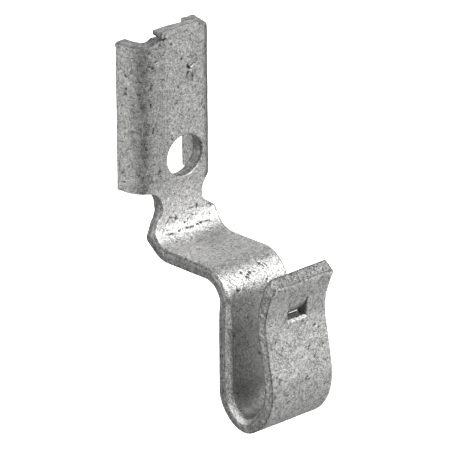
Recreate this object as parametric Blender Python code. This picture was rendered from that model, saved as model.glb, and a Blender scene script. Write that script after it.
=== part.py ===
"""Pressed steel edge clip, made from one piece of sheet.

A flat blank is laid out (outline, screw hole and a lanced tang), given its thickness, scored along
every bend line, and then folded: two flanges turn back along the upper plate, and the tail folds
forward, down, round and up into a hook with a flared lip.

Frame: origin on the back face of the upper plate, on the vertical line through the screw hole and
8 mm above the hole's centre. +X is to the right seen from the hook side, -Y points to the hook side,
+Z is up. Blank coordinates are in millimetres: u runs across the sheet, s runs down it from the
height of the hole's centre, and depth runs from the face side (0) to the rear side (T).
"""

import math

import bmesh
import bpy
from mathutils import Vector

MM = 0.001

# ---- sheet ----
T = 2.35                      # sheet thickness
HOLE_BELOW_ORIGIN = 8.0       # hole centre below the origin
HOLE_R = 3.6                  # screw hole
HOLE_SIDES = 32

# ---- upper plate ----
TAB_TOP = 23.1                # top of the centre tab above the hole's centre
TAB_LEFT, TAB_RIGHT = -4.65, 3.2
FLANGE_TOP = 21.2             # top of both flanges above the hole's centre
SLIT_TOP, SLIT_FLOOR, SLIT_IN = 22.1, 21.6, 1.9   # relief slit under the tab's left end
TAB_SHOULDER = 22.4           # where the tab's right end meets the sloping top of the flange
LEFT_FLANGE_BOTTOM = 5.03     # flange ends below the hole's centre
RIGHT_FLANGE_BOTTOM = 5.3
LEFT_BEND_U, RIGHT_BEND_U = -6.3, 3.5   # where the flat plate ends and the flanges begin
# each flange: ("arc", face-side radius, degrees) or ("line", length), from the plate outwards
LEFT_FLANGE = [("arc", 3.0, 52.0), ("arc", 7.0, 14.0), ("arc", 2.4, 12.5), ("line", 2.19)]
RIGHT_FLANGE = [("arc", 2.95, 85.0), ("line", 3.3)]

# ---- neck and tail strip ----
NECK_LEFT, NECK_RIGHT = -4.8, 3.75
STRIP_LEFT, STRIP_RIGHT = -6.54, 6.16   # half-inch strip
TAIL = [                      # along the face side, from the hole's centre downwards
    ("line", 11.3),           # plate and neck
    ("arc", 2.755, 95.1, 1),  # upper fold: down -> forward
    ("line", 9.8),            # shelf
    ("arc", 5.64, 95.1, -1),  # lower fold: forward -> down
    ("line", 15.2),           # back leg of the hook
    ("arc", 3.63, 60.0, 1),   # hook bottom, three radii
    ("arc", 2.68, 60.0, 1),
    ("arc", 8.14, 71.1, 1),
    ("line", 7.55),           # front leg leaning in towards the pinch
    ("arc", 11.86, 32.0, -1), # pinch and flare
    ("line", 3.99),           # lip
]
LIP_CORNER_R = 1.7            # rounded left corner of the lip
# the upper fold opens from left to right: its radius grows across the strip
FOLD_R_LEFT, FOLD_R_RIGHT = 2.755, 4.3
FOLD_REACH = 5.03             # the fold stays within this distance of its corner

# ---- tang, lanced in the front leg and pressed into the hook ----
TANG_LEFT, TANG_RIGHT = -1.8, 2.1
TANG_BOTTOM, TANG_HINGE = 76.5, 80.9
TANG_GAP = 0.2
TANG_TURN = 32.0              # degrees it is pressed in
TANG_BEND = 0.9               # length of its bend

# ---- facet size on the bends ----
STEP_TIGHT = 11.0             # degrees per facet on small radii
STEP_WIDE = 8.0


def tail_at(s):
    """Face-side point (forward, up) and heading at distance s below the hole's centre."""
    f, z, h = 0.0, 0.0, -90.0
    if s <= 0.0:
        return 0.0, -s, h
    left = s
    for seg in TAIL:
        if seg[0] == "line":
            run = seg[1]
            step = min(left, run)
            f += step * math.cos(math.radians(h))
            z += step * math.sin(math.radians(h))
        else:
            _, r, turn, side = seg
            run = r * math.radians(turn)
            step = min(left, run)
            dh = side * math.degrees(step / r)
            a0, a1 = math.radians(h), math.radians(h + dh)
            f += side * r * (math.sin(a1) - math.sin(a0))
            z += side * r * (math.cos(a0) - math.cos(a1))
            h += dh
        left -= step
        if left <= 1e-9:
            return f, z, h
    f += left * math.cos(math.radians(h))
    z += left * math.sin(math.radians(h))
    return f, z, h


def flange_at(w, segs):
    """Outward and backward travel, and turn in degrees, at distance w past the plate's edge."""
    out, back, h = 0.0, 0.0, 0.0
    left = w
    for seg in segs:
        if seg[0] == "line":
            step = min(left, seg[1])
            out += step * math.cos(math.radians(h))
            back += step * math.sin(math.radians(h))
        else:
            _, r, turn = seg
            step = min(left, r * math.radians(turn))
            dh = math.degrees(step / r)
            a0, a1 = math.radians(h), math.radians(h + dh)
            out += r * (math.sin(a1) - math.sin(a0))
            back += r * (math.cos(a0) - math.cos(a1))
            h += dh
        left -= step
        if left <= 1e-9:
            break
    return out, back, h


def length(segs):
    return sum(g[1] if g[0] == "line" else g[1] * math.radians(g[2]) for g in segs)


TAIL_END = length(TAIL)
LEFT_END = LEFT_BEND_U - length(LEFT_FLANGE)
RIGHT_END = RIGHT_BEND_U + length(RIGHT_FLANGE)


def fold(u, s, depth):
    """Blank point to its folded place in the part's frame, in millimetres."""
    if s <= NOTCH_FLAT and u < LEFT_BEND_U:
        out, back, h = flange_at(LEFT_BEND_U - u, LEFT_FLANGE)
        a = math.radians(h)
        x = LEFT_BEND_U - out + depth * math.sin(a)
        f = -back - depth * math.cos(a)
        z = -s
    elif s <= NOTCH_FLAT and u > RIGHT_BEND_U:
        out, back, h = flange_at(u - RIGHT_BEND_U, RIGHT_FLANGE)
        a = math.radians(h)
        x = RIGHT_BEND_U + out - depth * math.sin(a)
        f = -back - depth * math.cos(a)
        z = -s
    else:
        f, z, h = upper_fold_at(u, s) if FOLD_START < s < FOLD_END else tail_at(s)
        if in_tang(u, s):
            f, z, h = tang_at(TANG_HINGE - s)
        a = math.radians(h)
        x = u
        f += depth * math.sin(a)
        z -= depth * math.cos(a)
    return Vector((x * MM, -(f + T) * MM, (z - HOLE_BELOW_ORIGIN) * MM))


NOTCH_FLAT = 7.5              # the flanges end above this, the tail is as wide as the strip below it

FOLD_HALF = math.tan(math.radians(TAIL[1][2] / 2.0))
FOLD_CORNER = TAIL[0][1] + TAIL[1][1] * FOLD_HALF
FOLD_START = FOLD_CORNER - FOLD_REACH
FOLD_END = TAIL[0][1] + length(TAIL[1:2]) + FOLD_REACH - TAIL[1][1] * FOLD_HALF


def upper_fold_at(u, s):
    """Face-side point and heading on the upper fold, whose radius depends on u."""
    across = min(1.0, max(0.0, (u - STRIP_LEFT) / (STRIP_RIGHT - STRIP_LEFT)))
    r = FOLD_R_LEFT + (FOLD_R_RIGHT - FOLD_R_LEFT) * across
    turn = math.radians(TAIL[1][2])
    flat = FOLD_REACH - r * FOLD_HALF
    q = (s - FOLD_START) / (FOLD_END - FOLD_START) * (2.0 * flat + r * turn)
    f, z, a = 0.0, -FOLD_START - min(q, flat), 0.0
    if q > flat:
        a = min(turn, (q - flat) / r)
        f = r * (1.0 - math.cos(a))
        z -= r * math.sin(a)
        rest = max(0.0, q - flat - r * turn)
        f += rest * math.sin(a)
        z -= rest * math.cos(a)
    return f, z, math.degrees(a) - 90.0


def in_tang(u, s):
    return (TANG_LEFT + TANG_GAP * 0.5 < u < TANG_RIGHT - TANG_GAP * 0.5
            and TANG_BOTTOM + TANG_GAP * 0.5 < s < TANG_HINGE)


def tang_at(w):
    """Face-side point and heading on the tang, w below its hinge line."""
    f, z, h = tail_at(TANG_HINGE)
    h -= 180.0
    n = 24
    for i in range(n):
        t = min(1.0, (i + 0.5) / n * w / TANG_BEND)
        a = math.radians(h - TANG_TURN * t)
        f += w / n * math.cos(a)
        z += w / n * math.sin(a)
    return f, z, h - TANG_TURN * min(1.0, w / TANG_BEND) + 180.0


def fillet(points):
    """Corner list of (u, s, radius) to a closed outline with rounded corners."""
    out = []
    n = len(points)
    for i in range(n):
        p = Vector(points[i][:2])
        a = Vector(points[i - 1][:2]) - p
        b = Vector(points[(i + 1) % n][:2]) - p
        r = points[i][2]
        if r <= 0.0:
            out.append(p)
            continue
        a.normalize()
        b.normalize()
        half = a.angle(b) / 2.0
        reach = r / math.tan(half)
        centre = p + (a + b).normalized() * (r / math.sin(half))
        p0, p1 = p + a * reach, p + b * reach
        v0, v1 = p0 - centre, p1 - centre
        turn = v0.angle_signed(v1)
        steps = max(2, int(math.ceil(abs(turn) / math.radians(20.0))))
        for k in range(steps + 1):
            c, d = math.cos(-turn * k / steps), math.sin(-turn * k / steps)
            out.append(centre + Vector((v0.x * c - v0.y * d, v0.x * d + v0.y * c)))
    return out


def outline():
    """The blank's outer edge, clockwise from the tab's top left corner."""
    return fillet([
        (TAB_LEFT, -TAB_TOP, 0.0), (TAB_RIGHT, -TAB_TOP, 0.0),
        (TAB_RIGHT, -TAB_SHOULDER, 0.0), (5.0, -21.5, 0.0),
        (6.2, -FLANGE_TOP, 0.0), (RIGHT_END, -FLANGE_TOP, 0.5),
        (RIGHT_END, RIGHT_FLANGE_BOTTOM, 0.2), (NECK_RIGHT, RIGHT_FLANGE_BOTTOM, 2.0),
        (NECK_RIGHT, 8.9, 1.2), (STRIP_RIGHT, 10.95, 0.5),
        (STRIP_RIGHT, TAIL_END, 0.3), (STRIP_LEFT, TAIL_END, LIP_CORNER_R),
        (STRIP_LEFT, 12.3, 0.6), (NECK_LEFT, 9.3, 1.2),
        (NECK_LEFT, LEFT_FLANGE_BOTTOM, 3.1), (LEFT_END, LEFT_FLANGE_BOTTOM, 0.2),
        (LEFT_END, -FLANGE_TOP, 0.5), (-6.0, -FLANGE_TOP, 0.0), (-5.1, -SLIT_FLOOR, 0.0),
        (TAB_LEFT + SLIT_IN, -SLIT_FLOOR + 0.1, 0.0), (TAB_LEFT + SLIT_IN, -SLIT_TOP, 0.0),
        (TAB_LEFT, -SLIT_TOP, 0.0),
    ])


def screw_hole():
    return [Vector((HOLE_R * math.cos(2 * math.pi * i / HOLE_SIDES),
                    HOLE_R * math.sin(2 * math.pi * i / HOLE_SIDES))) for i in range(HOLE_SIDES)]


def tang_slit():
    """The three-sided cut that frees the tang."""
    l, r, b, h, g = TANG_LEFT, TANG_RIGHT, TANG_BOTTOM, TANG_HINGE, TANG_GAP
    return [Vector(p) for p in (
        (l, h), (l, b), (r, b), (r, h), (r - g, h), (r - g, b + g), (l + g, b + g), (l + g, h))]


def bend_lines():
    """Distances down the sheet where the tail is scored."""
    n = 18
    rows = [FOLD_START + (FOLD_END - FOLD_START) * i / n for i in range(n + 1)]
    s = length(TAIL[:2])
    for seg in TAIL[2:]:
        if seg[0] == "line":
            s += seg[1]
            continue
        run = seg[1] * math.radians(seg[2])
        step = STEP_WIDE if seg[1] > 7.0 else STEP_TIGHT
        n = max(2, int(math.ceil(seg[2] / step)))
        rows += [s + run * i / n for i in range(n + 1)]
        s += run
    rows += [TANG_HINGE, TANG_HINGE - TANG_BEND / 3, TANG_HINGE - TANG_BEND * 2 / 3, TANG_HINGE - TANG_BEND]
    return sorted(rows)


def flange_lines(start, segs, sign):
    cols, w = [], 0.0
    for seg in segs:
        if seg[0] == "line":
            w += seg[1]
            continue
        run = seg[1] * math.radians(seg[2])
        n = max(2, int(math.ceil(seg[2] / STEP_TIGHT)))
        cols += [start + sign * (w + run * i / n) for i in range(n + 1)]
        w += run
    return cols


def score(bm, faces, co, no):
    geom = set(faces)
    for f in faces:
        geom.update(f.edges)
        geom.update(f.verts)
    bmesh.ops.bisect_plane(bm, geom=list(geom), dist=1e-5, plane_co=co, plane_no=no)


def blank_mesh():
    bm = bmesh.new()
    edges = []
    for loop in (outline(), screw_hole(), tang_slit()):
        verts = [bm.verts.new((p.x, -p.y, 0.0)) for p in loop]
        edges += [bm.edges.new((verts[i], verts[(i + 1) % len(verts)])) for i in range(len(verts))]
    bmesh.ops.triangle_fill(bm, use_beauty=True, use_dissolve=False, edges=edges, normal=(0, 0, 1))
    bmesh.ops.recalc_face_normals(bm, faces=bm.faces)
    if bm.faces[0:1] and next(iter(bm.faces)).normal.z < 0:
        bmesh.ops.reverse_faces(bm, faces=bm.faces)
    for s in bend_lines():
        score(bm, list(bm.faces), (0, -s, 0), (0, 1, 0))
    for u in flange_lines(LEFT_BEND_U, LEFT_FLANGE, -1) + flange_lines(RIGHT_BEND_U, RIGHT_FLANGE, 1):
        upper = [f for f in bm.faces if f.calc_center_median().y > -NOTCH_FLAT]
        score(bm, upper, (u, 0, 0), (1, 0, 0))
    bmesh.ops.triangulate(bm, faces=bm.faces)
    face_side = list(bm.faces)
    grown = bmesh.ops.extrude_face_region(bm, geom=face_side)
    rear = [g for g in grown["geom"] if isinstance(g, bmesh.types.BMVert)]
    for v in rear:
        v.co.z = -T
    bmesh.ops.recalc_face_normals(bm, faces=bm.faces)
    bmesh.ops.triangulate(bm, faces=bm.faces)
    return bm


def steel():
    mat = bpy.data.materials.new("galvanised_steel")
    mat.use_nodes = True
    p = mat.node_tree.nodes["Principled BSDF"]
    p.inputs["Base Color"].default_value = (0.42, 0.42, 0.41, 1.0)
    p.inputs["Metallic"].default_value = 1.0
    p.inputs["Roughness"].default_value = 0.45
    return mat


def main():
    for o in list(bpy.data.objects):
        bpy.data.objects.remove(o, do_unlink=True)
    bm = blank_mesh()
    for v in bm.verts:
        v.co = fold(v.co.x, -v.co.y, -v.co.z)
    bmesh.ops.recalc_face_normals(bm, faces=bm.faces)
    if bm.calc_volume(signed=True) < 0:
        bmesh.ops.reverse_faces(bm, faces=bm.faces)
    mesh = bpy.data.meshes.new("clip_body")
    bm.to_mesh(mesh)
    bm.free()
    body = bpy.data.objects.new("clip_body", mesh)
    bpy.context.scene.collection.objects.link(body)
    mesh.materials.append(steel())
    mesh.shade_smooth()
    mesh.set_sharp_from_angle(angle=math.radians(30.0))


main()
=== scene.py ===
"""Looks for the folded steel clip: a fine version of the same folded sheet, with rolled and sheared
edges, a punched dimple, the lanced tang and a galvanised finish."""

import math

import bpy
import numpy as np
from mathutils import Matrix, Vector, kdtree, noise
from mathutils.geometry import delaunay_2d_cdt


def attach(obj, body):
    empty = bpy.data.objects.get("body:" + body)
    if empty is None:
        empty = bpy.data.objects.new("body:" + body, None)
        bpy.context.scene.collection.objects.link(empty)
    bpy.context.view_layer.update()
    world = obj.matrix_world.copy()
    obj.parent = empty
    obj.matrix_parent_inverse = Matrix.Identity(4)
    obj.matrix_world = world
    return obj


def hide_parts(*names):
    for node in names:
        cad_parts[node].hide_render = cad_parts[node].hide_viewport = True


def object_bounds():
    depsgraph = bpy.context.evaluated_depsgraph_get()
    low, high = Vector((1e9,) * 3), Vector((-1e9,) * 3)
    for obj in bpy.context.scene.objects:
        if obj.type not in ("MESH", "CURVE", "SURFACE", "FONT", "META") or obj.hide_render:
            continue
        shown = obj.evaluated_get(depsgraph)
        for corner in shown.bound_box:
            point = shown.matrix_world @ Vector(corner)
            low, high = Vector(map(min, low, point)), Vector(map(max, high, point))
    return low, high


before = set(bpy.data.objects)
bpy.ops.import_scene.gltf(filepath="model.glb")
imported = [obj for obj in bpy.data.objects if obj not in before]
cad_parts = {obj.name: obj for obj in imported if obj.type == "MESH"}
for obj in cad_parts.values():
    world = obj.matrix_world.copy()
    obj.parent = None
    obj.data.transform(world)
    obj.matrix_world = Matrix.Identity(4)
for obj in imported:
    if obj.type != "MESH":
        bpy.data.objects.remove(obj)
cad_box = [[float(c) for c in p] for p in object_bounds()]

MM = 0.001

# ------------------------------------------------------------------ the folded sheet (as the CAD part)
T = 2.35
HOLE_BELOW_ORIGIN = 8.0
HOLE_R = 3.6
TAB_TOP = 23.1
TAB_LEFT, TAB_RIGHT = -4.65, 3.2
FLANGE_TOP = 21.2
SLIT_TOP, SLIT_FLOOR, SLIT_IN = 22.1, 21.6, 1.9
TAB_SHOULDER = 22.4
LEFT_FLANGE_BOTTOM, RIGHT_FLANGE_BOTTOM = 5.03, 5.3
LEFT_BEND_U, RIGHT_BEND_U = -6.3, 3.5
LEFT_FLANGE = [("arc", 3.0, 52.0), ("arc", 7.0, 14.0), ("arc", 2.4, 12.5), ("line", 2.19)]
RIGHT_FLANGE = [("arc", 2.95, 85.0), ("line", 3.3)]
NECK_LEFT, NECK_RIGHT = -4.8, 3.75
STRIP_LEFT, STRIP_RIGHT = -6.54, 6.16
TAIL = [
    ("line", 11.3), ("arc", 2.755, 95.1, 1), ("line", 9.8), ("arc", 5.64, 95.1, -1), ("line", 15.2),
    ("arc", 3.63, 60.0, 1), ("arc", 2.68, 60.0, 1), ("arc", 8.14, 71.1, 1), ("line", 7.55),
    ("arc", 11.86, 32.0, -1), ("line", 3.99),
]
LIP_CORNER_R = 1.7
FOLD_R_LEFT, FOLD_R_RIGHT = 2.755, 4.3
FOLD_REACH = 5.03
TANG_LEFT, TANG_RIGHT = -1.8, 2.1
TANG_BOTTOM, TANG_HINGE = 76.5, 80.9
TANG_GAP = 0.2
TANG_TURN = 40.0
TANG_BEND = 3.0
NOTCH_FLAT = 7.5


def length(segs):
    return sum(g[1] if g[0] == "line" else g[1] * math.radians(g[2]) for g in segs)


TAIL_END = length(TAIL)
LEFT_END = LEFT_BEND_U - length(LEFT_FLANGE)
RIGHT_END = RIGHT_BEND_U + length(RIGHT_FLANGE)
FOLD_HALF = math.tan(math.radians(TAIL[1][2] / 2.0))
FOLD_CORNER = TAIL[0][1] + TAIL[1][1] * FOLD_HALF
FOLD_START = FOLD_CORNER - FOLD_REACH
FOLD_END = TAIL[0][1] + length(TAIL[1:2]) + FOLD_REACH - TAIL[1][1] * FOLD_HALF


def walk(dist, segs, h0, sides):
    """Points and headings (radians) at an array of distances along lines and arcs."""
    x = np.zeros_like(dist)
    y = np.zeros_like(dist)
    h = np.full_like(dist, math.radians(h0))
    left = dist.copy()
    for i, seg in enumerate(segs):
        last = i == len(segs) - 1
        if seg[0] == "line":
            step = left if last else np.minimum(left, seg[1])
            x += step * np.cos(h)
            y += step * np.sin(h)
        else:
            side = sides[i]
            r = seg[1]
            step = np.minimum(left, r * math.radians(seg[2]))
            h1 = h + side * step / r
            x += side * r * (np.sin(h1) - np.sin(h))
            y += side * r * (np.cos(h) - np.cos(h1))
            h = h1
        left = left - step
    return x, y, h


def tail_at(s):
    pos = np.maximum(s, 0.0)
    f, z, h = walk(pos, TAIL, -90.0, [g[3] if g[0] == "arc" else 0 for g in TAIL])
    return f, np.where(s < 0, -s, z), h


def upper_fold_at(u, s):
    """The upper fold, whose radius grows from the left edge of the strip to the right."""
    across = np.clip((u - STRIP_LEFT) / (STRIP_RIGHT - STRIP_LEFT), 0.0, 1.0)
    r = FOLD_R_LEFT + (FOLD_R_RIGHT - FOLD_R_LEFT) * across
    turn = math.radians(TAIL[1][2])
    flat = FOLD_REACH - r * FOLD_HALF
    q = (s - FOLD_START) / (FOLD_END - FOLD_START) * (2.0 * flat + r * turn)
    a = np.clip((q - flat) / r, 0.0, turn)
    rest = np.maximum(q - flat - r * turn, 0.0)
    f = r * (1.0 - np.cos(a)) + rest * np.sin(a)
    z = -FOLD_START - np.minimum(q, flat) - r * np.sin(a) - rest * np.cos(a)
    return f, z, a - math.pi / 2.0


def tang_at(w):
    f0, z0, h0 = tail_at(np.array([TANG_HINGE]))
    h0 = h0[0] - math.pi
    r = TANG_BEND / math.radians(TANG_TURN)
    x, y, h = walk(w, [("arc", r, TANG_TURN), ("line", 99.0)], math.degrees(h0), [-1, 0])
    return f0[0] + x, z0[0] + y, h + math.pi


def fold(u, s, depth, tang):
    """Blank coordinates to the row frame, in metres."""
    upper = s <= NOTCH_FLAT
    x = u.copy()
    f, z, h = tail_at(s)
    fold_ = (s > FOLD_START) & (s < FOLD_END)
    f[fold_], z[fold_], h[fold_] = upper_fold_at(u[fold_], s[fold_])
    if tang.any():
        tf, tz, th = tang_at(np.maximum(TANG_HINGE - s[tang], 0.0))
        f[tang], z[tang], h[tang] = tf, tz, th
    f = f + depth * np.sin(h)
    z = z - depth * np.cos(h)
    left = upper & (u < LEFT_BEND_U)
    o, b, a = walk(LEFT_BEND_U - u[left], LEFT_FLANGE, 0.0, [1, 1, 1, 1])
    x[left] = LEFT_BEND_U - o + depth[left] * np.sin(a)
    f[left] = -b - depth[left] * np.cos(a)
    z[left] = -s[left]
    right = upper & (u > RIGHT_BEND_U)
    o, b, a = walk(u[right] - RIGHT_BEND_U, RIGHT_FLANGE, 0.0, [1, 1])
    x[right] = RIGHT_BEND_U + o - depth[right] * np.sin(a)
    f[right] = -b - depth[right] * np.cos(a)
    z[right] = -s[right]
    return np.stack([x, -(f + T), z - HOLE_BELOW_ORIGIN], 1) * MM


# ------------------------------------------------------------------ the blank's edges
def fillet(points, arc_step=0.12):
    out = []
    n = len(points)
    for i in range(n):
        p = Vector(points[i][:2])
        a = Vector(points[i - 1][:2]) - p
        b = Vector(points[(i + 1) % n][:2]) - p
        r = points[i][2]
        if r <= 0.0:
            out.append(p)
            continue
        a.normalize()
        b.normalize()
        half = a.angle(b) / 2.0
        reach = r / math.tan(half)
        centre = p + (a + b).normalized() * (r / math.sin(half))
        v0, v1 = p + a * reach - centre, p + b * reach - centre
        turn = v0.angle_signed(v1)
        steps = max(3, int(math.ceil(abs(turn) * r / arc_step)))
        for k in range(steps + 1):
            c, d = math.cos(-turn * k / steps), math.sin(-turn * k / steps)
            out.append(centre + Vector((v0.x * c - v0.y * d, v0.x * d + v0.y * c)))
    return out


def resample(loop, step):
    pts = []
    n = len(loop)
    for i in range(n):
        a, b = loop[i], loop[(i + 1) % n]
        k = max(1, int(math.ceil((b - a).length / step)))
        for j in range(k):
            pts.append(a.lerp(b, j / k))
    return np.array([(p.x, p.y) for p in pts])


EDGE = 0.16
outer = resample(fillet([
    (TAB_LEFT, -TAB_TOP, 0.12), (TAB_RIGHT, -TAB_TOP, 0.12),
    (TAB_RIGHT + 0.02, -22.25, 0.05), (TAB_RIGHT + 0.27, -22.25, 0.05), (TAB_RIGHT + 0.3, -TAB_SHOULDER - 0.12, 0.1),
    (5.0, -21.5, 1.5), (6.2, -FLANGE_TOP, 0.5), (RIGHT_END, -FLANGE_TOP, 0.35),
    (RIGHT_END, RIGHT_FLANGE_BOTTOM, 0.25), (NECK_RIGHT, RIGHT_FLANGE_BOTTOM, 2.0),
    (NECK_RIGHT, 8.9, 1.2), (STRIP_RIGHT, 10.95, 0.5),
    (STRIP_RIGHT, TAIL_END, 0.25), (STRIP_LEFT, TAIL_END, LIP_CORNER_R),
    (STRIP_LEFT, 12.3, 0.6), (NECK_LEFT, 9.3, 1.2),
    (NECK_LEFT, LEFT_FLANGE_BOTTOM, 3.1), (LEFT_END, LEFT_FLANGE_BOTTOM, 0.15),
    (LEFT_END, -FLANGE_TOP, 0.3), (-6.0, -FLANGE_TOP, 0.8), (-5.1, -SLIT_FLOOR, 0.2),
    (TAB_LEFT + SLIT_IN, -SLIT_FLOOR + 0.1, 0.2), (TAB_LEFT + SLIT_IN, -SLIT_TOP, 0.2),
    (TAB_LEFT, -SLIT_TOP, 0.12),
]), EDGE)
ring_n = int(2 * math.pi * HOLE_R / EDGE)
ang = np.arange(ring_n) * 2 * math.pi / ring_n
hole = np.stack([HOLE_R * np.cos(ang), HOLE_R * np.sin(ang)], 1)
l, r, b, h, g = TANG_LEFT, TANG_RIGHT, TANG_BOTTOM, TANG_HINGE, TANG_GAP
slit = resample([Vector(p) for p in (
    (l, h), (l, b), (r, b), (r, h), (r - g, h), (r - g, b + g), (l + g, b + g), (l + g, h))], 0.1)


def inside(p, loop):
    """Even-odd test of points against one closed loop."""
    res = np.zeros(len(p), bool)
    x0, y0 = loop[:, 0], loop[:, 1]
    x1, y1 = np.roll(x0, -1), np.roll(y0, -1)
    for i0 in range(0, len(p), 4000):
        q = p[i0:i0 + 4000]
        yy = q[:, 1:2]
        cross = (y0 > yy) != (y1 > yy)
        with np.errstate(divide="ignore", invalid="ignore"):
            xc = (x1 - x0) * (yy - y0) / (y1 - y0) + x0
        res[i0:i0 + 4000] = (np.sum(cross & (q[:, 0:1] < xc), 1) % 2) == 1
    return res


def tree(points):
    t = kdtree.KDTree(len(points))
    for i, p in enumerate(points):
        t.insert((p[0], p[1], 0.0), i)
    t.balance()
    return t


def dense(loop, step=0.04):
    pts = []
    for a, b in zip(loop, np.roll(loop, -1, 0)):
        k = max(1, int(math.ceil(np.linalg.norm(b - a) / step)))
        pts.append(a + (b - a) * (np.arange(k) / k)[:, None])
    return np.concatenate(pts)


rim_tree = tree(np.concatenate([dense(outer), dense(hole)]))
slit_tree = tree(dense(slit, 0.03))


def dist(t, pts):
    return np.array([t.find((p[0], p[1], 0.0))[2] for p in pts])


def normals(loop, sign):
    d = np.roll(loop, -1, 0) - np.roll(loop, 1, 0)
    d /= np.linalg.norm(d, axis=1)[:, None]
    return np.stack([-d[:, 1], d[:, 0]], 1) * sign


RINGS = [0.045, 0.11, 0.2, 0.31, 0.45, 0.62, 0.82]
SLIT_RINGS = [0.05, 0.12, 0.22, 0.36]


def signed_area(loop):
    return 0.5 * np.sum(loop[:, 0] * np.roll(loop[:, 1], -1) - np.roll(loop[:, 0], -1) * loop[:, 1])


def on_blank(p):
    return inside(p, outer) & ~inside(p, hole) & ~inside(p, slit)


def blank_points():
    rings = []
    for loop, keep_in, offs, t, extra in (
            (outer, 1, RINGS, rim_tree, None), (hole, -1, RINGS, rim_tree, None),
            (slit, -1, SLIT_RINGS, slit_tree, None)):
        sign = keep_in * (1 if signed_area(loop) > 0 else -1)
        n = normals(loop, sign)
        for d in offs:
            p = loop + n * d
            ok = dist(t, p) > d * 0.93
            rings.append(p[ok])
    rings = np.concatenate(rings)
    step = 0.2
    us = np.arange(LEFT_END, RIGHT_END, step)
    ss = np.arange(-TAB_TOP, TAIL_END, step * 0.93)
    uu, sv = np.meshgrid(us, ss)
    uu = uu + (np.arange(len(ss)) % 2)[:, None] * step * 0.5
    grid = np.stack([uu.ravel(), sv.ravel()], 1)
    # finer points over the dimple and the tang
    def patch(u0, u1, s0, s1, st):
        a, c = np.meshgrid(np.arange(u0, u1, st), np.arange(s0, s1, st))
        a = a + (np.arange(a.shape[0]) % 2)[:, None] * st * 0.5
        return np.stack([a.ravel(), c.ravel()], 1)
    fine = np.concatenate([
        patch(DIMPLE[0] - 1.9, DIMPLE[0] + 1.9, DIMPLE[1] - 1.8, DIMPLE[1] + 3.4, 0.075),
        patch(l - 0.6, r + 0.6, b - 0.6, h + 1.2, 0.14),
        patch(-5.0, 5.0, 12.6, 13.6, 0.08)]
        + [patch(k[0] - k[2] - 0.2, k[0] + k[2] + 0.2, k[1] - k[2] - 0.2, k[1] + k[2] + 0.2, 0.085) for k in KNOCKS + FRONT_KNOCKS if k[2] < 0.6])
    inb = np.zeros(len(grid), bool)
    for (u0, u1, s0, s1) in [(DIMPLE[0] - 1.9, DIMPLE[0] + 1.9, DIMPLE[1] - 1.8, DIMPLE[1] + 3.4),
                             (l - 0.6, r + 0.6, b - 0.6, h + 1.2), (-5.0, 5.0, 12.6, 13.6)] + [
            (k[0] - k[2] - 0.2, k[0] + k[2] + 0.2, k[1] - k[2] - 0.2, k[1] + k[2] + 0.2) for k in KNOCKS + FRONT_KNOCKS if k[2] < 0.6]:
        inb |= (grid[:, 0] > u0) & (grid[:, 0] < u1) & (grid[:, 1] > s0) & (grid[:, 1] < s1)
    grid = grid[~inb]
    grid = np.concatenate([grid[dist(rim_tree, grid) > RINGS[-1] + 0.1],
                           fine[dist(rim_tree, fine) > RINGS[-1] + 0.08]])
    grid = grid[dist(slit_tree, grid) > SLIT_RINGS[-1] + 0.07]
    ok = dist(slit_tree, rings) > 0.045
    ok &= dist(rim_tree, rings) > 0.04
    rings = rings[ok]
    pts = np.concatenate([rings, grid])
    return pts[on_blank(pts)]


DIMPLE = (1.25, -15.3)
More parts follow.
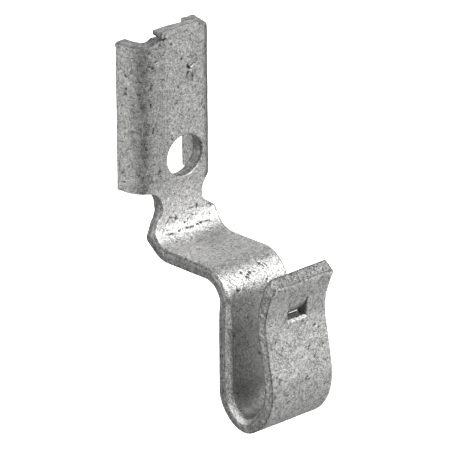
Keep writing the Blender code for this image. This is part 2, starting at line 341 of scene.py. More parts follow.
# small pits and scratches where the sheet was bent and knocked: u, s, length, width, angle, depth
KNOCKS = [
    # neck and upper fold
    (2.5, 9.95, 0.34, 0.2, 80, 0.2), (-1.9, 10.95, 0.3, 0.2, 60, 0.2), (-2.95, 10.4, 0.5, 0.12, 20, 0.1),
    (-3.7, 11.0, 0.4, 0.13, -50, 0.1), (1.25, 9.9, 0.4, 0.1, 15, 0.08), (1.5, 11.3, 0.35, 0.11, 30, 0.1),
    (-0.35, 12.05, 0.16, 0.14, 0, 0.1), (0.35, 11.75, 0.14, 0.13, 0, 0.08), (5.25, 10.65, 0.5, 0.14, 70, 0.12),
    # lower fold
    (-2.1, 29.9, 0.17, 0.16, 0, 0.16), (-0.6, 30.3, 0.22, 0.2, 0, 0.2), (-1.1, 30.6, 0.17, 0.15, 0, 0.14),
    (-1.55, 30.95, 0.16, 0.14, 0, 0.12), (2.0, 29.4, 0.2, 0.18, 0, 0.18), (2.4, 30.05, 0.45, 0.1, 65, 0.1),
    (2.95, 29.9, 0.5, 0.1, 60, 0.1), (0.3, 30.5, 0.2, 0.1, 20, 0.08), (-4.1, 32.6, 0.3, 0.14, 30, 0.1),
    # upper plate and its left bend
    (-5.8, -18.3, 0.2, 0.16, 0, 0.1), (-4.45, -14.7, 0.2, 0.16, 0, 0.12), (-8.75, -12.95, 0.22, 0.17, 0, 0.1),
    (-8.7, -15.1, 0.2, 0.17, 0, 0.1), (-6.55, -17.35, 0.26, 0.2, 40, 0.12), (-7.2, -17.7, 0.3, 0.16, 10, 0.1),
    (-0.55, -17.3, 0.2, 0.15, 90, 0.08), (-2.65, -20.55, 0.18, 0.15, 0, 0.08), (-11.3, -12.7, 0.2, 0.17, 90, 0.1),
    (-11.25, -15.9, 0.24, 0.18, 60, 0.1), (-11.2, -13.6, 0.2, 0.16, 90, 0.08), (-1.25, -12.55, 0.3, 0.12, 80, 0.08),
    (-1.75, -9.7, 0.24, 0.13, -40, 0.08), (3.7, -8.1, 0.3, 0.13, 110, 0.08), (-4.95, -20.9, 0.2, 0.16, 0, 0.1),
    (-6.9, -14.0, 0.6, 0.16, 100, 0.07), (-7.0, -10.8, 0.5, 0.16, 80, 0.07), (-6.6, -6.2, 0.5, 0.15, 100, 0.07),
    (-7.9, -3.2, 0.35, 0.2, 80, 0.08), (-5.2, 1.4, 0.25, 0.17, 0, 0.08), (-2.6, -3.6, 0.3, 0.12, 60, 0.06),
    (1.4, 18.4, 2.2, 0.06, -30, 0.03), (-1.0, 16.9, 0.9, 0.06, -20, 0.03),
    # inside the hook
    (-2.6, 58.4, 0.4, 0.17, 100, 0.1), (-0.2, 45.0, 0.3, 0.14, 50, 0.05),
]
# the same on the outside of the hook and lip
FRONT_KNOCKS = [
    (3.65, 73.85, 0.22, 0.2, 0, 0.2), (4.45, 73.3, 0.16, 0.14, 0, 0.12), (-3.15, 86.3, 0.2, 0.15, 0, 0.14),
    (-3.85, 84.45, 0.24, 0.11, 110, 0.1), (-4.0, 71.0, 0.75, 0.11, -50, 0.14), (-4.65, 73.35, 0.26, 0.12, 50, 0.1),
    (-5.65, 72.7, 0.4, 0.1, 60, 0.08), (4.9, 70.3, 0.2, 0.13, 45, 0.1), (2.85, 68.7, 0.2, 0.16, 30, 0.12),
    (1.95, 70.7, 0.22, 0.12, 0, 0.1), (3.2, 67.2, 1.4, 0.07, -28, 0.07), (-2.7, 63.4, 1.0, 0.08, 22, 0.08),
    (-2.4, 68.85, 0.5, 0.09, -60, 0.08), (0.6, 66.0, 0.3, 0.12, 40, 0.08), (-0.9, 71.9, 0.4, 0.09, 55, 0.07),
    (1.1, 73.6, 0.35, 0.09, 40, 0.07), (-4.9, 66.8, 0.3, 0.12, 70, 0.08), (2.2, 62.6, 0.25, 0.13, 10, 0.08),
    (-1.9, 75.1, 0.3, 0.09, 30, 0.07), (4.6, 64.2, 0.3, 0.12, 60, 0.08),
]

free = blank_points()
loops = [outer, hole, slit]
verts, edges = [], []
for lp in loops:
    o = len(verts)
    verts += [Vector(p) for p in lp]
    edges += [(o + i, o + (i + 1) % len(lp)) for i in range(len(lp))]
verts += [Vector(p) for p in free]
cv, ce, cf, *_rest = delaunay_2d_cdt(verts, edges, [], 0, 1e-6)
cv = np.array([(v.x, v.y) for v in cv])
tri = np.array([f for f in cf if len(f) == 3])
mid = cv[tri].mean(1)
tri = tri[on_blank(mid)]
used = np.unique(tri)
remap = np.full(len(cv), -1)
remap[used] = np.arange(len(used))
P = cv[used]
tri = remap[tri]
a2 = cv[used][tri]
area = np.cross(a2[:, 1] - a2[:, 0], a2[:, 2] - a2[:, 0])
tri[area < 0] = tri[area < 0][:, ::-1]

# boundary edges, each once, in the direction its triangle walks it
de = np.concatenate([tri[:, [0, 1]], tri[:, [1, 2]], tri[:, [2, 0]]])
key = np.sort(de, 1)
_, inv, cnt = np.unique(key, axis=0, return_inverse=True, return_counts=True)
rim = de[cnt[inv.ravel()] == 1]

d_rim = dist(rim_tree, P)
d_slit = dist(slit_tree, P)
tang_v = ((P[:, 0] > l + g * 0.5) & (P[:, 0] < r - g * 0.5) & (P[:, 1] > b + g * 0.5) & (P[:, 1] < h))


def wave(p, scale, seed, octaves=3):
    return np.array([noise.fractal((x * scale + seed, y * scale - seed, seed * 0.37), 0.8, 2.0, octaves) for x, y in p])


# slow unevenness of the hammered and dipped surface, in millimetres
slow = wave(P, 0.16, 3.1) * 0.05 + wave(P, 0.55, 9.7) * 0.016


def roll(d, w, h_):
    q = np.clip(1.0 - d / w, 0.0, 1.0)
    return h_ * (1.0 - np.sqrt(np.maximum(1.0 - q * q, 0.0)))


def nearest_rim():
    """For every point: which edge is nearest (0 outline, 1 hole) and that edge's outward direction."""
    to, th = dense(outer), dense(hole)
    no = -normals(to, 1 if signed_area(to) > 0 else -1)
    allp = np.concatenate([to, th])
    kind = np.concatenate([np.zeros(len(to)), np.ones(len(th))])
    alln = np.concatenate([no, np.zeros((len(th), 2))])
    near = tree(allp)
    idx = np.array([near.find((x, y, 0.0))[1] for x, y in P])
    return kind[idx], alln[idx], allp[idx]


rim_kind, rim_out, rim_at = nearest_rim()
leftish = np.clip((-rim_out[:, 0] + 0.15) / 0.5, 0.0, 1.0)
w_roll = 0.32 + 0.16 * leftish
h_roll = 0.18 + 0.14 * leftish
level_top = rim_at[:, 1] < -20.5
w_roll = np.where(level_top, 0.12, w_roll)
h_roll = np.where(level_top, 0.06, h_roll)
near_slits = (rim_at[:, 1] > -22.6) & (rim_at[:, 1] < -21.3) & (rim_at[:, 0] > -5.2) & (rim_at[:, 0] < 5.2)
w_roll = np.where(near_slits, 0.1, w_roll)
h_roll = np.where(near_slits, 0.07, h_roll)
w_roll = np.where(rim_kind > 0.5, 0.34, w_roll)
h_roll = np.where(rim_kind > 0.5, 0.2, h_roll)
lip_end = rim_at[:, 1] > TAIL_END - 0.3
w_roll = np.where(lip_end, 0.16, w_roll)
h_roll = np.where(lip_end, 0.1, h_roll)
uneven = 1.0 + 0.22 * wave(P, 0.5, 21.0, 2)
top = roll(d_rim, w_roll * uneven, h_roll)
# left-hand edges below the flanges: a drawn-down slope, deeper than it is wide
drawn = leftish * np.interp(rim_at[:, 1], [27.0, 31.0, 36.5], [0.0, 0.22, 1.0]) * np.clip((TAIL_END - 0.9 - rim_at[:, 1]) / 1.2, 0, 1) * (rim_kind < 0.5)
deep = 0.9 * (1.0 - 0.5 * np.clip((rim_at[:, 1] - 56.0) / 4.0, 0, 1))
slope_w = np.interp(rim_at[:, 1], [27.0, 31.0, 36.0, 50.0, 55.0, 60.0], [0.3, 0.5, 0.76, 0.76, 0.5, 0.4])
top = np.maximum(top, drawn * deep * np.clip(1.0 - d_rim / (slope_w * uneven), 0.0, 1.0) ** 1.15)
top = np.maximum(top, roll(d_slit, 0.12, 0.08))
under = roll(d_rim, 0.14, 0.1)
under = np.maximum(under, np.where(tang_v, roll(d_slit, 0.3, 0.2), roll(d_slit, 0.16, 0.1)))
under = np.maximum(under, np.where(lip_end, roll(d_rim, 0.6, 0.3), 0.0))
# lower edge of the window: a pressed chamfer
below = np.clip(1.0 - (b - P[:, 1]) / 0.42, 0.0, 1.0) * (P[:, 1] < b + 0.02) * (P[:, 0] > l - 0.05) * (P[:, 0] < r + 0.05)
under = np.maximum(under, 0.4 * below)

# punched mark: two crossed chisel nicks above a short scored line
du, ds = P[:, 0] - DIMPLE[0], P[:, 1] - DIMPLE[1]


def nick(cu, cs, ang_, long_, wide, deep):
    """One chisel nick: a wedge, steep on one flank."""
    c_, s_ = math.cos(math.radians(ang_)), math.sin(math.radians(ang_))
    along = ((du - cu) * c_ + (ds - cs) * s_) / long_
    over = (-(du - cu) * s_ + (ds - cs) * c_) / wide
    across = np.where(over < 0, 1.0 + over * 1.8, 1.0 - over)
    return deep * np.clip(across, 0, 1) * np.clip(1.3 - np.abs(along) * 1.3, 0, 1)


mark = np.maximum(nick(-0.2, -0.1, 48.0, 0.85, 0.34, 0.3), nick(0.35, -0.3, -30.0, 0.95, 0.34, 0.26))
mark = np.maximum(mark, nick(-0.5, 1.0, 104.0, 0.8, 0.36, 0.18))
burr = 0.06 * np.exp(-((du / 1.15) ** 2 + ((ds + 1.15) / 0.4) ** 2)) + 0.1 * np.exp(-((du - 0.1) ** 2 + (ds - 0.75) ** 2) / 0.12)
score = 0.16 * np.exp(-((du - 0.5) / 0.1) ** 2) * np.clip(1.2 - np.abs(ds - 1.7) / 1.1, 0, 1)
top = top + mark + score - burr * (1 + 0.6 * wave(P, 2.3, 4.0, 3))
# soiling and painted shade in the punched mark: its nicks, its scored line and spots around it are darkened in colour
dirt_and_shade = np.clip(mark / 0.2, 0.0, 1.0) + np.clip(score / 0.16, 0.0, 1.0) * 0.7
for gu, gs, gr, ga in ((1.15, -1.35, 0.3, 0.7), (0.7, -1.75, 0.25, 0.6), (1.5, -1.0, 0.22, 0.6), (-0.5, -0.7, 0.25, 0.8),
                       (0.3, 1.5, 0.5, 0.35), (-0.7, 1.6, 0.45, 0.4)):
    dirt_and_shade = np.maximum(dirt_and_shade, ga * np.exp(-((du - gu) ** 2 + (ds - gs) ** 2) / gr ** 2))

front_dirt_and_shade = np.zeros(len(P))
# the knocks' pits are darkened in colour on both skins: soiling and painted shade in the hollows
for front_, marks in ((False, KNOCKS), (True, FRONT_KNOCKS)):
    for (ku, ks, kl, kw, ka, kd) in marks:
        if kl < 0.35:
            kl, kw = kl * 1.3, kw * 1.3
        c_, s_ = math.cos(math.radians(ka)), math.sin(math.radians(ka))
        al = ((P[:, 0] - ku) * c_ + (P[:, 1] - ks) * s_) / kl
        ov = (-(P[:, 0] - ku) * s_ + (P[:, 1] - ks) * c_) / kw
        hit = np.exp(-(al ** 4) - ov ** 2)
        if front_:
            under = under + 0.5 * kd * hit
            front_dirt_and_shade = np.maximum(front_dirt_and_shade, hit * min(1.0, kd / 0.1))
        else:
            top = top + kd * hit
            dirt_and_shade = np.maximum(dirt_and_shade, hit * min(1.0, kd / 0.05))
# the crease pressed into the outside of the upper fold by the press tool; its dotted line is darkened in colour as
# painted shade
crease_s = 13.1 + 0.08 * np.sin(P[:, 0] * 1.7)
dots = np.clip(0.75 + 1.9 * wave(P, 1.9, 31.0, 2), 0.0, 1.3)
crease = dots * np.exp(-((P[:, 1] - crease_s) / 0.15) ** 2) * np.clip((4.6 - P[:, 0]) / 1.0, 0, 1) * np.clip((P[:, 0] + 4.6) / 1.0, 0, 1)
top = top + 0.09 * crease
dirt_and_shade = np.maximum(dirt_and_shade, 0.85 * crease)
# painted shade: dark spots where the slits meet the plate
for gu, gs, gr, ga in ((5.2, 10.45, 0.2, 0.6), (5.6, 10.7, 0.22, 0.8), (6.0, 11.05, 0.2, 0.7), (-3.7, -22.35, 0.24, 0.9), (-3.95, -21.6, 0.26, 0.9), (-4.3, -21.15, 0.24, 0.8), (-3.2, -22.0, 0.2, 0.5)):
    dirt_and_shade = np.maximum(dirt_and_shade, ga * np.exp(-((P[:, 0] - gu) ** 2 + (P[:, 1] - gs) ** 2) / gr ** 2))
dirt_and_shade = np.clip(dirt_and_shade, 0.0, 1.0)

face_d = top + slow
# a burr stands along the rear of the sheared left edge of the back leg
burr_run = np.interp(rim_at[:, 1], [34.0, 37.0, 51.0, 55.0], [0.0, 1.0, 1.0, 0.0]) * leftish * (rim_kind < 0.5)
rear_d = T - under + slow + 0.14 * burr_run * np.clip(1.0 - d_rim / 0.5, 0.0, 1.0)



def drift(p, depth):
    """Where the blank's points lie at a depth: the sheared and bent edges are not square."""
    u, s = p[:, 0], p[:, 1]
    t = np.clip(depth / T, 0.0, 1.0)
    # tab's sheared top, lower at the rear
    tabness = np.clip((-22.0 - s) / 0.9, 0, 1) * np.clip((u - TAB_LEFT + 0.6) / 0.6, 0, 1) * np.clip((TAB_RIGHT + 0.1 - u) / 0.1, 0, 1)
    drop = np.interp(u, [-4.2, -1.6, 0.6, 1.6, 3.2], [0.27, 0.3, 0.47, 0.54, 0.6])
    s = s + tabness * drop * t
    # the slit beside the tab runs deeper and wider at the rear
    mid_s = -(SLIT_TOP + SLIT_FLOOR) / 2.0
    up_down = p[:, 1] - mid_s
    near_s = np.clip((0.95 - np.abs(up_down)) / 0.6, 0, 1)
    end_u = TAB_LEFT + SLIT_IN
    pull = np.clip(np.minimum((p[:, 0] - TAB_LEFT) / SLIT_IN, (end_u + 1.2 - p[:, 0]) / 1.2), 0, 1)
    u = u - 0.95 * (1.0 - t) * near_s * pull
    on_slit = np.clip((end_u + 0.3 - p[:, 0]) / 0.3, 0, 1) * np.clip((p[:, 0] - TAB_LEFT + 1.2) / 1.0, 0, 1)
    s = s - np.sign(up_down) * 0.13 * (1.0 - t) * near_s * on_slit * (np.abs(up_down) > 0.05)
    # left shoulder of the upper fold, spread on the outside and drawn in on the inside
    sh = np.exp(-((p[:, 1] - 10.6) / 1.7) ** 2) * np.clip((-3.3 - u) / 2.2, 0, 1)
    u = u - sh * (0.34 - 0.8 * t)
    u = u - 0.42 * t * np.exp(-((p[:, 1] - 12.7) / 0.55) ** 2) * np.clip((-4.6 - u) / 1.6, 0, 1)
    # end of the lip, sheared aslant
    at_end = np.clip((p[:, 1] - TAIL_END + 1.6) / 1.6, 0, 1)
    s = s + at_end * (0.56 * (1.0 - t) - t * (0.13 + 0.02 * (u - 1.0)))
    u = u + 0.36 * t * at_end ** 3 * np.clip((p[:, 0] - 5.0) / 1.1, 0, 1)
    # the burr leans outwards
    u = u - 0.14 * np.clip((t - 0.4) / 0.6, 0, 1) * np.interp(p[:, 1], [34.0, 37.0, 51.0, 55.0], [0.0, 1.0, 1.0, 0.0]) * np.clip((-6.0 - p[:, 0]) / 0.5, 0, 1)
    # right end of the same fold, less so
    shr = np.exp(-((p[:, 1] - 12.2) / 2.2) ** 2) * np.clip((u - 3.6) / 2.4, 0, 1)
    u = u + shr * (0.2 - 0.4 * t)
    # the hole breaks out wider at the rear, most at its lower left
    rr = np.hypot(p[:, 0], p[:, 1])
    away = np.clip(1.0 - (rr - HOLE_R) / 0.9, 0, 1)
    dirn = np.clip((-p[:, 0] * 0.55 + p[:, 1] * 0.83) / np.maximum(rr, 1e-6), 0, 1) ** 2
    flare = away * (0.05 + 0.42 * dirn) * np.clip((t - 0.35) / 0.65, 0, 1) ** 1.5
    u = u + flare * p[:, 0] / np.maximum(rr, 1e-6)
    s = s + flare * p[:, 1] / np.maximum(rr, 1e-6)
    return u, s


F = fold(*drift(P, face_d), face_d, tang_v)
R = fold(*drift(P, rear_d), rear_d, tang_v)
n = len(P)

# sheared wall between the two skins, in rows, rough in its lower half
rim_v = np.unique(rim)
outn = np.zeros((n, 2))
for i, j in rim:
    e = P[j] - P[i]
    m = np.array([e[1], -e[0]])
    m /= max(np.linalg.norm(m), 1e-9)
    outn[i] += m
    outn[j] += m
outn[rim_v] /= np.maximum(np.linalg.norm(outn[rim_v], axis=1), 1e-9)[:, None]
ROWS = 9
rows_idx = [np.arange(n)]
coords = [F]
wall_pos = []
base = 2 * n
row_ids = []
for k in range(1, ROWS):
    t = k / ROWS
    ids = np.full(n, -1)
    ids[rim_v] = base + np.arange(len(rim_v))
    base += len(rim_v)
    row_ids.append(ids)
    p = P[rim_v]
    dd = face_d[rim_v] * (1 - t) + rear_d[rim_v] * t
    rough = np.array([noise.fractal((x * 2.3, y * 2.3, dz * 1.7), 0.9, 2.1, 3) for (x, y), dz in zip(p, dd)])
    fracture = np.clip((t - 0.35) / 0.2, 0, 1)
    in_slit = d_slit[rim_v] < 0.01
    amp = np.where(in_slit, 0.01, 0.025 + 0.05 * fracture)
    tear = np.exp(-((t - 0.5) / 0.09) ** 2) * np.array([noise.noise((x * 3.1, y * 3.1, 7.0)) for x, y in p])
    bulge = 0.12 * np.clip(np.minimum(t / 0.3, (1.0 - t) / 0.7), 0, 1) * np.clip((-outn[rim_v, 0] - 0.3) / 0.4, 0, 1)
    calm = 1.0 - 0.75 * np.clip((p[:, 1] - TAIL_END + 0.5) / 0.3, 0, 1)
    amp, tear = amp * calm, tear * calm
    off = rough * amp + bulge + (0.07 * tear - fracture * 0.03 + 0.02 * math.sin(math.pi * t)) * (~in_slit)
    q = p + outn[rim_v] * off[:, None]
    wall_pos.append(fold(*drift(q, dd), dd, tang_v[rim_v]))
co = np.concatenate([F, R] + wall_pos)
faces = [tuple(t_[::-1]) for t_ in tri.tolist()]
faces += [(a_ + n, b_ + n, c_ + n) for a_, b_, c_ in tri.tolist()]
chain = [np.arange(n)] + row_ids + [np.arange(n) + n]
for i, j in rim.tolist():
    for k in range(ROWS):
        u0, u1 = chain[k], chain[k + 1]
        faces.append((int(u0[i]), int(u0[j]), int(u1[j]), int(u1[i])))

mesh = bpy.data.meshes.new("clip_steel")
mesh.from_pydata(co.tolist(), [], faces)
mesh.update()

import bmesh

bm = bmesh.new()
bm.from_mesh(mesh)
if bm.calc_volume(signed=True) < 0:
    bmesh.ops.reverse_faces(bm, faces=bm.faces)
bm.to_mesh(mesh)
bm.free()

# masks kept on the vertices: sheared wall, and the thin strip along the skins' edges, which darkens the colour there as
# painted shade
cut = np.zeros(len(co), np.float32)
cut[rim_v] = cut[n + rim_v] = 0.5
cut[2 * n:] = 1.0
edge_shade_and_light = np.zeros(len(co), np.float32)
edge_shade_and_light[:n] = np.clip(1 - d_rim / 0.18, 0, 1) * np.where((leftish > 0.6) & (rim_at[:, 1] > 34.0) & (rim_at[:, 1] < 57.0), 0.0, 1.0)
# the drawn slope is painted lighter than the leg behind it: painted light
slope = drawn * np.clip((slope_w * uneven - d_rim) / 0.1, 0, 1) * np.clip((58.0 - P[:, 1]) / 4.0, 0, 1)
edge_shade_and_light[:n] = edge_shade_and_light[:n] * (1.0 - slope) - 1.15 * slope
edge_shade_and_light[n:2 * n] = np.clip(1 - d_rim / 0.16, 0, 1)
# painted shade: dark lines along the front leg's left edge on the rear skin and along the folds' right edges
left_line = (rim_kind < 0.5) & (leftish > 0.6) & (rim_at[:, 1] > 58.0) & (rim_at[:, 1] < TAIL_END - 0.6)
edge_shade_and_light[n:2 * n] = np.where(left_line, np.clip(1.8 - d_rim / 0.16, 0, 1), edge_shade_and_light[n:2 * n])
right_line = (rim_kind < 0.5) & (rim_out[:, 0] > 0.6) & (rim_at[:, 1] > 10.2) & (rim_at[:, 1] < 36.0)
edge_shade_and_light[:n] = np.where(right_line, np.clip(1.8 - d_rim / 0.16, 0, 1), edge_shade_and_light[:n])
skin_dirt_and_shade = np.zeros(len(co), np.float32)
# painted shade on the tang, darker towards its tip, which is bent inwards
tang_shade = np.clip((TANG_HINGE - 1.6 - P[:, 1]) / 2.6, 0, 1) * tang_v
skin_dirt_and_shade[:n] = dirt_and_shade
skin_dirt_and_shade[n:2 * n] = np.maximum(tang_shade * 0.5, front_dirt_and_shade)
for nm_, arr_ in (("cut_edge", cut), ("edge_shade_and_light", edge_shade_and_light), ("dirt_and_shade", skin_dirt_and_shade)):
    at = mesh.attributes.new(nm_, "FLOAT", "POINT")
    at.data.foreach_set("value", arr_)
blank = np.zeros((len(co), 3), np.float32)
blank[:n, 0], blank[:n, 1] = P[:, 0], P[:, 1]
blank[n:2 * n, 0], blank[n:2 * n, 1], blank[n:2 * n, 2] = P[:, 0], P[:, 1], T
off_ = 2 * n
for k in range(1, ROWS):
    m = len(rim_v)
    blank[off_:off_ + m, 0], blank[off_:off_ + m, 1] = P[rim_v, 0], P[rim_v, 1]
    blank[off_:off_ + m, 2] = T * k / ROWS
    off_ += m
at = mesh.attributes.new("blank", "FLOAT_VECTOR", "POINT")
at.data.foreach_set("vector", blank.ravel())

mesh.shade_smooth()
mesh.set_sharp_from_angle(angle=math.radians(48.0))
clip = bpy.data.objects.new("clip_steel", mesh)
bpy.context.scene.collection.objects.link(clip)


# ------------------------------------------------------------------ finish
def galvanised():
    mat = bpy.data.materials.new("galvanised_steel")
    mat.use_nodes = True
    nt = mat.node_tree
    N, L = nt.nodes, nt.links
    p = N["Principled BSDF"]
    p.inputs["Metallic"].default_value = 0.85
    tc = N.new("ShaderNodeTexCoord")
    mp = N.new("ShaderNodeMapping")
    mp.inputs["Scale"].default_value = (1000.0, 1000.0, 1000.0)
    L.new(tc.outputs["Object"], mp.inputs["Vector"])

    def noise_(scale, detail, rough=0.55, distort=0.0):
        t = N.new("ShaderNodeTexNoise")
        t.inputs["Scale"].default_value = scale
        t.inputs["Detail"].default_value = detail
        t.inputs["Roughness"].default_value = rough
        t.inputs["Distortion"].default_value = distort
        L.new(mp.outputs["Vector"], t.inputs["Vector"])
        return t.outputs["Fac"]

    def math_(op, a, b=None, c=None, clamp=False):
        m = N.new("ShaderNodeMath")
        m.operation = op
        m.use_clamp = clamp
        for i, v in enumerate((a, b, c)):
            if v is None:
                continue
            if isinstance(v, (int, float)):
                m.inputs[i].default_value = v
            else:
                L.new(v, m.inputs[i])
        return m.outputs[0]

    def ramp(v, lo, hi, a=0.0, b=1.0):
        m = N.new("ShaderNodeMapRange")
        m.inputs["From Min"].default_value = lo
        m.inputs["From Max"].default_value = hi
        m.inputs["To Min"].default_value = a
        m.inputs["To Max"].default_value = b
        L.new(v, m.inputs["Value"])
        return m.outputs["Result"]

    def cells(scale, rnd=1.0, out="Distance", feature="F1"):
        v = N.new("ShaderNodeTexVoronoi")
        v.feature = feature
        v.inputs["Scale"].default_value = scale
        v.inputs["Randomness"].default_value = rnd
        L.new(mp.outputs["Vector"], v.inputs["Vector"])
        return v.outputs[out]

    fine = noise_(2.1, 4.0, 0.7)
    grain = noise_(5.2, 2.0, 0.6)
    blotch = noise_(0.4, 3.0, 0.55, 0.4)
    mid_ = noise_(1.05, 4.0, 0.6, 0.8)
    # crystals of the zinc
    cc = N.new("ShaderNodeTexVoronoi")
    cc.inputs["Scale"].default_value = 1.15
    L.new(mp.outputs["Vector"], cc.inputs["Vector"])
    sep = N.new("ShaderNodeSeparateColor")
    L.new(cc.outputs["Color"], sep.inputs["Color"])
    crystal = sep.outputs["Red"]
    # dark pits, sparse, and smaller specks in patches
    pit = math_("MULTIPLY", ramp(cells(0.8), 0.09, 0.17, 1.0, 0.0), ramp(noise_(0.7, 2.0), 0.5, 0.56))
    speck = math_("MULTIPLY", ramp(cells(2.1), 0.13, 0.24, 1.0, 0.0), ramp(noise_(0.55, 2.0), 0.48, 0.6))
    pits = math_("MAXIMUM", pit, math_("MULTIPLY", speck, 0.75))
    # thin broken veins
    warp = N.new("ShaderNodeTexNoise")
    warp.inputs["Scale"].default_value = 1.4
    warp.inputs["Detail"].default_value = 3.0
    L.new(mp.outputs["Vector"], warp.inputs["Vector"])
    bend = N.new("ShaderNodeVectorMath")
    bend.operation = "MULTIPLY_ADD"
    L.new(warp.outputs["Color"], bend.inputs[0])
    bend.inputs[1].default_value = (1.1, 1.1, 1.1)
    L.new(mp.outputs["Vector"], bend.inputs[2])
    vein_t = N.new("ShaderNodeTexVoronoi")
    vein_t.feature = "DISTANCE_TO_EDGE"
    vein_t.inputs["Scale"].default_value = 0.85
    L.new(bend.outputs["Vector"], vein_t.inputs["Vector"])
    vein = math_("MULTIPLY", ramp(vein_t.outputs["Distance"], 0.02, 0.08, 1.0, 0.0), ramp(noise_(1.2, 3.0), 0.5, 0.6))

    cutn = N.new("ShaderNodeAttribute")
    cutn.attribute_name = "cut_edge"
    bordn = N.new("ShaderNodeAttribute")
    bordn.attribute_name = "edge_shade_and_light"
    cut_ = cutn.outputs["Fac"]
    # painted shade along the skins' edges, from the vertex mask, broken up by noise; it also roughens them
    edge = math_("MULTIPLY", bordn.outputs["Fac"], ramp(noise_(1.9, 4.0), 0.35, 0.55, 0.4, 1.0))

    blankn = N.new("ShaderNodeAttribute")
    blankn.attribute_name = "blank"
    uv = N.new("ShaderNodeSeparateXYZ")
    L.new(blankn.outputs["Vector"], uv.inputs["Vector"])
    bu, bs, bd = uv.outputs["X"], uv.outputs["Y"], uv.outputs["Z"]
    # inside the hook the finish varies less, and its colour is a little darker as painted shade
    hook_inside_smooth_and_shaded = math_("MULTIPLY", math_("MULTIPLY", ramp(bs, 34.5, 38.5), ramp(bs, 66.0, 58.0)), ramp(bd, 0.6, 0.2))
    w = math_("MULTIPLY", ramp(fine, 0.35, 0.65, -1, 1), 0.18)
    w = math_("MULTIPLY_ADD", ramp(grain, 0.35, 0.65, -1, 1), 0.19, w)
    w = math_("MULTIPLY_ADD", ramp(blotch, 0.3, 0.7, -1, 1), 0.04, w)
    w = math_("MULTIPLY_ADD", ramp(mid_, 0.3, 0.7, -1, 1), 0.07, w)
    w = math_("MULTIPLY", w, math_("SUBTRACT", 1.0, math_("MULTIPLY", hook_inside_smooth_and_shaded, 0.55)))
    v = math_("ADD", w, math_("SUBTRACT", 0.455, math_("MULTIPLY", hook_inside_smooth_and_shaded, 0.05)))
    v = math_("MULTIPLY_ADD", crystal, 0.04, v)
    v = math_("MULTIPLY", v, math_("SUBTRACT", 1.0, math_("MULTIPLY", pits, 0.72)))
    v = math_("MULTIPLY", v, math_("SUBTRACT", 1.0, math_("MULTIPLY", vein, 0.4)))
    v = math_("MULTIPLY", v, math_("SUBTRACT", 1.0, math_("MULTIPLY", edge, 0.6)))
    blot = math_("MULTIPLY", ramp(noise_(1.25, 4.0, 0.65), 0.36, 0.64, -0.34, 0.34), cut_)
    lip_calm = math_("SUBTRACT", 1.0, math_("MULTIPLY", ramp(bs, 84.2, 84.9), 0.65))
    v = math_("MULTIPLY", v, math_("ADD", 1.0, math_("MULTIPLY", blot, lip_calm)))
    # painted shade: the wall is darkest where it meets either skin; painted light: the front leg's wall is lighter
    on_wall = ramp(cut_, 0.5, 0.85)
    ends = math_("MAXIMUM", ramp(bd, 0.34, 0.1), ramp(bd, T - 0.34, T - 0.1))
    v = math_("MULTIPLY", v, math_("SUBTRACT", 1.0, math_("MULTIPLY", math_("MULTIPLY", on_wall, ends), 0.34)))
    # painted shade on the back leg's wall
    leg_wall = math_("MULTIPLY", on_wall, math_("MULTIPLY", ramp(bs, 35.0, 38.0), ramp(bs, 56.0, 52.0)))
    v = math_("MULTIPLY", v, math_("SUBTRACT", 1.0, math_("MULTIPLY", leg_wall, 0.16)))
    # painted light and shade on the one zinc: brighter inside the right flange, on the tab's top and at the top of the
    # back leg;
    # darker on the shoulder's wall and across the middle of the front leg
    skins = ramp(cut_, 0.5, 0.2)
    rear_ = ramp(bd, T - 0.3, T - 0.05)
    front_ = ramp(bd, 0.3, 0.05)
    for gain, masks in (
            (0.28, (rear_, skins, ramp(bu, 5.5, 7.0))),
            (0.16, (on_wall, ramp(bs, -22.3, -22.7))),
            (0.22, (front_, skins, ramp(bs, 33.0, 34.5), ramp(bs, 40.0, 37.0))),
            (-0.16, (on_wall, ramp(bs, 6.5, 8.5), ramp(bs, 14.0, 12.5), ramp(bu, -3.5, -4.5))),
            (-0.06, (rear_, skins, ramp(bs, 64.0, 67.0), ramp(bs, 76.0, 73.0)))):
        m_ = masks[0]
        for other in masks[1:]:
            m_ = math_("MULTIPLY", m_, other)
        v = math_("MULTIPLY", v, math_("ADD", 1.0, math_("MULTIPLY", m_, gain)))
    # painted shade on the wall at the lip's end
    lip_wall = math_("MULTIPLY", on_wall, ramp(bs, 84.2, 84.9))
    v = math_("MULTIPLY", v, math_("SUBTRACT", 1.0, math_("MULTIPLY", lip_wall, 0.2)))
    # painted light on the walls of the front leg and lip
    front_wall = math_("MULTIPLY", cut_, math_("MULTIPLY", ramp(bs, 60.0, 64.0), ramp(bs, 82.0, 80.0)))
    v = math_("MULTIPLY", v, math_("ADD", 1.0, math_("MULTIPLY", front_wall, 0.24)))
    v = math_("MULTIPLY", v, math_("SUBTRACT", 1.0, math_("MULTIPLY", cut_, 0.34)))
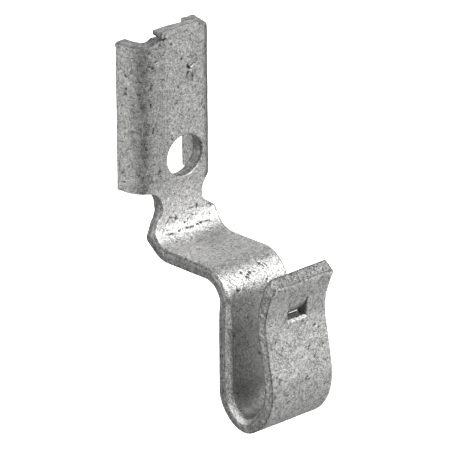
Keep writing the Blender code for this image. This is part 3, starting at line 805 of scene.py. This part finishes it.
    # soiling and painted shade in the marks; painted shade on the strip next to the wide bend; painted highlight on the
    # neck and upper fold, weaker on the lower fold
    dirt_and_shade_node = N.new("ShaderNodeAttribute")
    dirt_and_shade_node.attribute_name = "dirt_and_shade"
    v = math_("MULTIPLY", v, math_("SUBTRACT", 1.0, math_("MULTIPLY", dirt_and_shade_node.outputs["Fac"], 0.88)))
    beside = math_("MULTIPLY", ramp(bu, -2.6, -5.0), ramp(bu, -8.5, -6.5))
    beside = math_("MULTIPLY", beside, ramp(bs, 5.0, 3.0))
    v = math_("MULTIPLY", v, math_("SUBTRACT", 1.0, math_("MULTIPLY", beside, 0.2)))
    painted_fold_highlight = math_("MULTIPLY", ramp(bs, 4.5, 9.0), ramp(bs, 13.0, 11.5))
    painted_fold_highlight = math_("MAXIMUM", painted_fold_highlight, math_("MULTIPLY", math_("MULTIPLY", ramp(bs, 27.8, 29.5), ramp(bs, 33.8, 32.3)), 0.5))
    v = math_("MULTIPLY", v, math_("ADD", 1.0, math_("MULTIPLY", painted_fold_highlight, 0.3)))
    comb = N.new("ShaderNodeCombineColor")
    L.new(v, comb.inputs["Red"])
    L.new(math_("MULTIPLY", v, 0.995), comb.inputs["Green"])
    L.new(math_("MULTIPLY", v, 0.98), comb.inputs["Blue"])
    L.new(comb.outputs["Color"], p.inputs["Base Color"])

    rg = math_("MULTIPLY_ADD", ramp(fine, 0.3, 0.7, -1, 1), 0.06, 0.32)
    rg = math_("MULTIPLY_ADD", ramp(mid_, 0.3, 0.7, -1, 1), 0.05, rg)
    rg = math_("MULTIPLY_ADD", pits, 0.3, rg)
    rg = math_("MULTIPLY_ADD", edge, 0.15, rg, clamp=True)
    L.new(rg, p.inputs["Roughness"])

    hgt = math_("MULTIPLY_ADD", fine, 0.6, math_("MULTIPLY", grain, 0.3))
    hgt = math_("MULTIPLY_ADD", mid_, 0.7, hgt)
    hgt = math_("MULTIPLY_ADD", vein, -0.12, hgt)
    hgt = math_("MULTIPLY_ADD", pits, -0.3, hgt)
    bump = N.new("ShaderNodeBump")
    bump.inputs["Strength"].default_value = 1.0
    bump.inputs["Distance"].default_value = 0.00014
    L.new(hgt, bump.inputs["Height"])
    L.new(bump.outputs["Normal"], p.inputs["Normal"])
    return mat


mesh.materials.append(galvanised())
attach(clip, "root")
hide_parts("clip_body")

# ------------------------------------------------------------------ stage, light, camera
scene = bpy.context.scene
scene.view_settings.view_transform = "Standard"
scene.view_settings.look = "None"

low = cad_box[0][2]


def flat_material(name, value, rough=0.9):
    mat = bpy.data.materials.new(name)
    mat.use_nodes = True
    p = mat.node_tree.nodes["Principled BSDF"]
    p.inputs["Base Color"].default_value = (value, value, value, 1.0)
    p.inputs["Roughness"].default_value = rough
    p.inputs["Specular IOR Level"].default_value = 0.0
    return mat


def panel(name, size, centre, look_at, mat):
    m = bpy.data.meshes.new(name)
    hx, hy = size[0] / 2, size[1] / 2
    m.from_pydata([(-hx, -hy, 0), (hx, -hy, 0), (hx, hy, 0), (-hx, hy, 0)], [], [(0, 1, 2, 3)])
    m.materials.append(mat)
    o = bpy.data.objects.new(name, m)
    scene.collection.objects.link(o)
    o.location = centre
    if look_at is not None:
        o.rotation_euler = (Vector(look_at) - Vector(centre)).to_track_quat("Z", "Y").to_euler()
    return o


white = flat_material("floor_white", 0.9)
white.node_tree.nodes["Principled BSDF"].inputs["Emission Color"].default_value = (1.0, 1.0, 1.0, 1.0)
white.node_tree.nodes["Principled BSDF"].inputs["Emission Strength"].default_value = 0.75
floor = panel("floor", (6.0, 6.0), (0, 0, low - 0.12), None, white)
floor.visible_glossy = False
floor.visible_diffuse = False


# a soft white room, with a darker part where the camera stands
world = bpy.data.worlds.new("studio")
scene.world = world
world.use_nodes = True
wt = world.node_tree
WN, WL = wt.nodes, wt.links
wbg = WN["Background"]
wbg.inputs["Color"].default_value = (1.0, 1.0, 1.0, 1.0)
wco = WN.new("ShaderNodeTexCoord")


def lobe(az, el, inner, outer, amount, before):
    """Adds amount to a level inside a soft cone around one direction (degrees)."""
    a_, e_ = math.radians(az), math.radians(el)
    v_ = (math.sin(a_) * math.cos(e_), -math.cos(a_) * math.cos(e_), math.sin(e_))
    dot = WN.new("ShaderNodeVectorMath")
    dot.operation = "DOT_PRODUCT"
    WL.new(wco.outputs["Generated"], dot.inputs[0])
    dot.inputs[1].default_value = v_
    m_ = WN.new("ShaderNodeMapRange")
    m_.interpolation_type = "SMOOTHSTEP"
    m_.inputs["From Min"].default_value = math.cos(math.radians(outer))
    m_.inputs["From Max"].default_value = math.cos(math.radians(inner))
    m_.inputs["To Min"].default_value = 0.0
    m_.inputs["To Max"].default_value = amount
    WL.new(dot.outputs["Value"], m_.inputs["Value"])
    add = WN.new("ShaderNodeMath")
    add.operation = "ADD"
    WL.new(m_.outputs["Result"], add.inputs[0])
    if isinstance(before, (int, float)):
        add.inputs[1].default_value = before
    else:
        WL.new(before, add.inputs[1])
    return add.outputs[0]


level = 0.04
for (az_, el_, inner_, outer_, amount_) in (
        (15, 32, 0, 38, 3.45),       # key, front right
        (21, 60, 0, 38, 2.7),        # key, upper part
        (-21, 32, 0, 38, 0.6),       # key's soft left side
        (26, 2, 0, 38, 0.6),         # key's foot
        (51, -28, 0, 38, 0.72),      # table in front of the key
        (0, -88, 5, 60, 0.75),       # table below
        (-105, 2, 0, 38, 1.0),       # left wall of the tent
        (-93, -28, 0, 38, 0.5),      # its foot
        (-129, 32, 0, 38, 0.9),      # its upper rear corner
        (-93, 32, 0, 38, 0.4),
        (-140, -18, 0, 36, 0.36),    # left rear, low
        (172, 20, 10, 72, 0.4),      # rear wall
        (136, 27, 0, 46, 0.5)):      # its brighter right side
    level = lobe(az_, el_, inner_, outer_, amount_, level)
WL.new(level, wbg.inputs["Strength"])

# the camera: azimuth -39.2, elevation 25.2, a long lens, a slight roll
AZ, EL, ROLL = math.radians(-39.216), math.radians(25.177), math.radians(-0.547)
F_PX, SCALE = 6989.5, 6.145
d = Vector((math.sin(AZ) * math.cos(EL), -math.cos(AZ) * math.cos(EL), math.sin(EL)))
right0 = Vector((math.cos(AZ), math.sin(AZ), 0.0))
up0 = d.cross(right0)
right = right0 * math.cos(ROLL) + up0 * math.sin(ROLL)
up = up0 * math.cos(ROLL) - right0 * math.sin(ROLL)
hole_face = Vector((0.0, -T * MM, -HOLE_BELOW_ORIGIN * MM))
place = hole_face + d * (F_PX / SCALE * MM)
look = (-d + right * ((225.0 - 184.877) / F_PX) - up * ((225.0 - 155.015) / F_PX)).normalized()
cam_x = look.cross(up).normalized()
cam_y = cam_x.cross(look).normalized()
rot = Matrix((cam_x, cam_y, -look)).transposed()
cam_data = bpy.data.cameras.new("camera")
cam_data.sensor_width = 36.0
cam_data.lens = F_PX / 450.0 * 36.0
cam_data.clip_start, cam_data.clip_end = 0.05, 20.0
cam = bpy.data.objects.new("camera", cam_data)
cam.matrix_world = Matrix.Translation(place) @ rot.to_4x4()
scene.collection.objects.link(cam)
scene.camera = cam
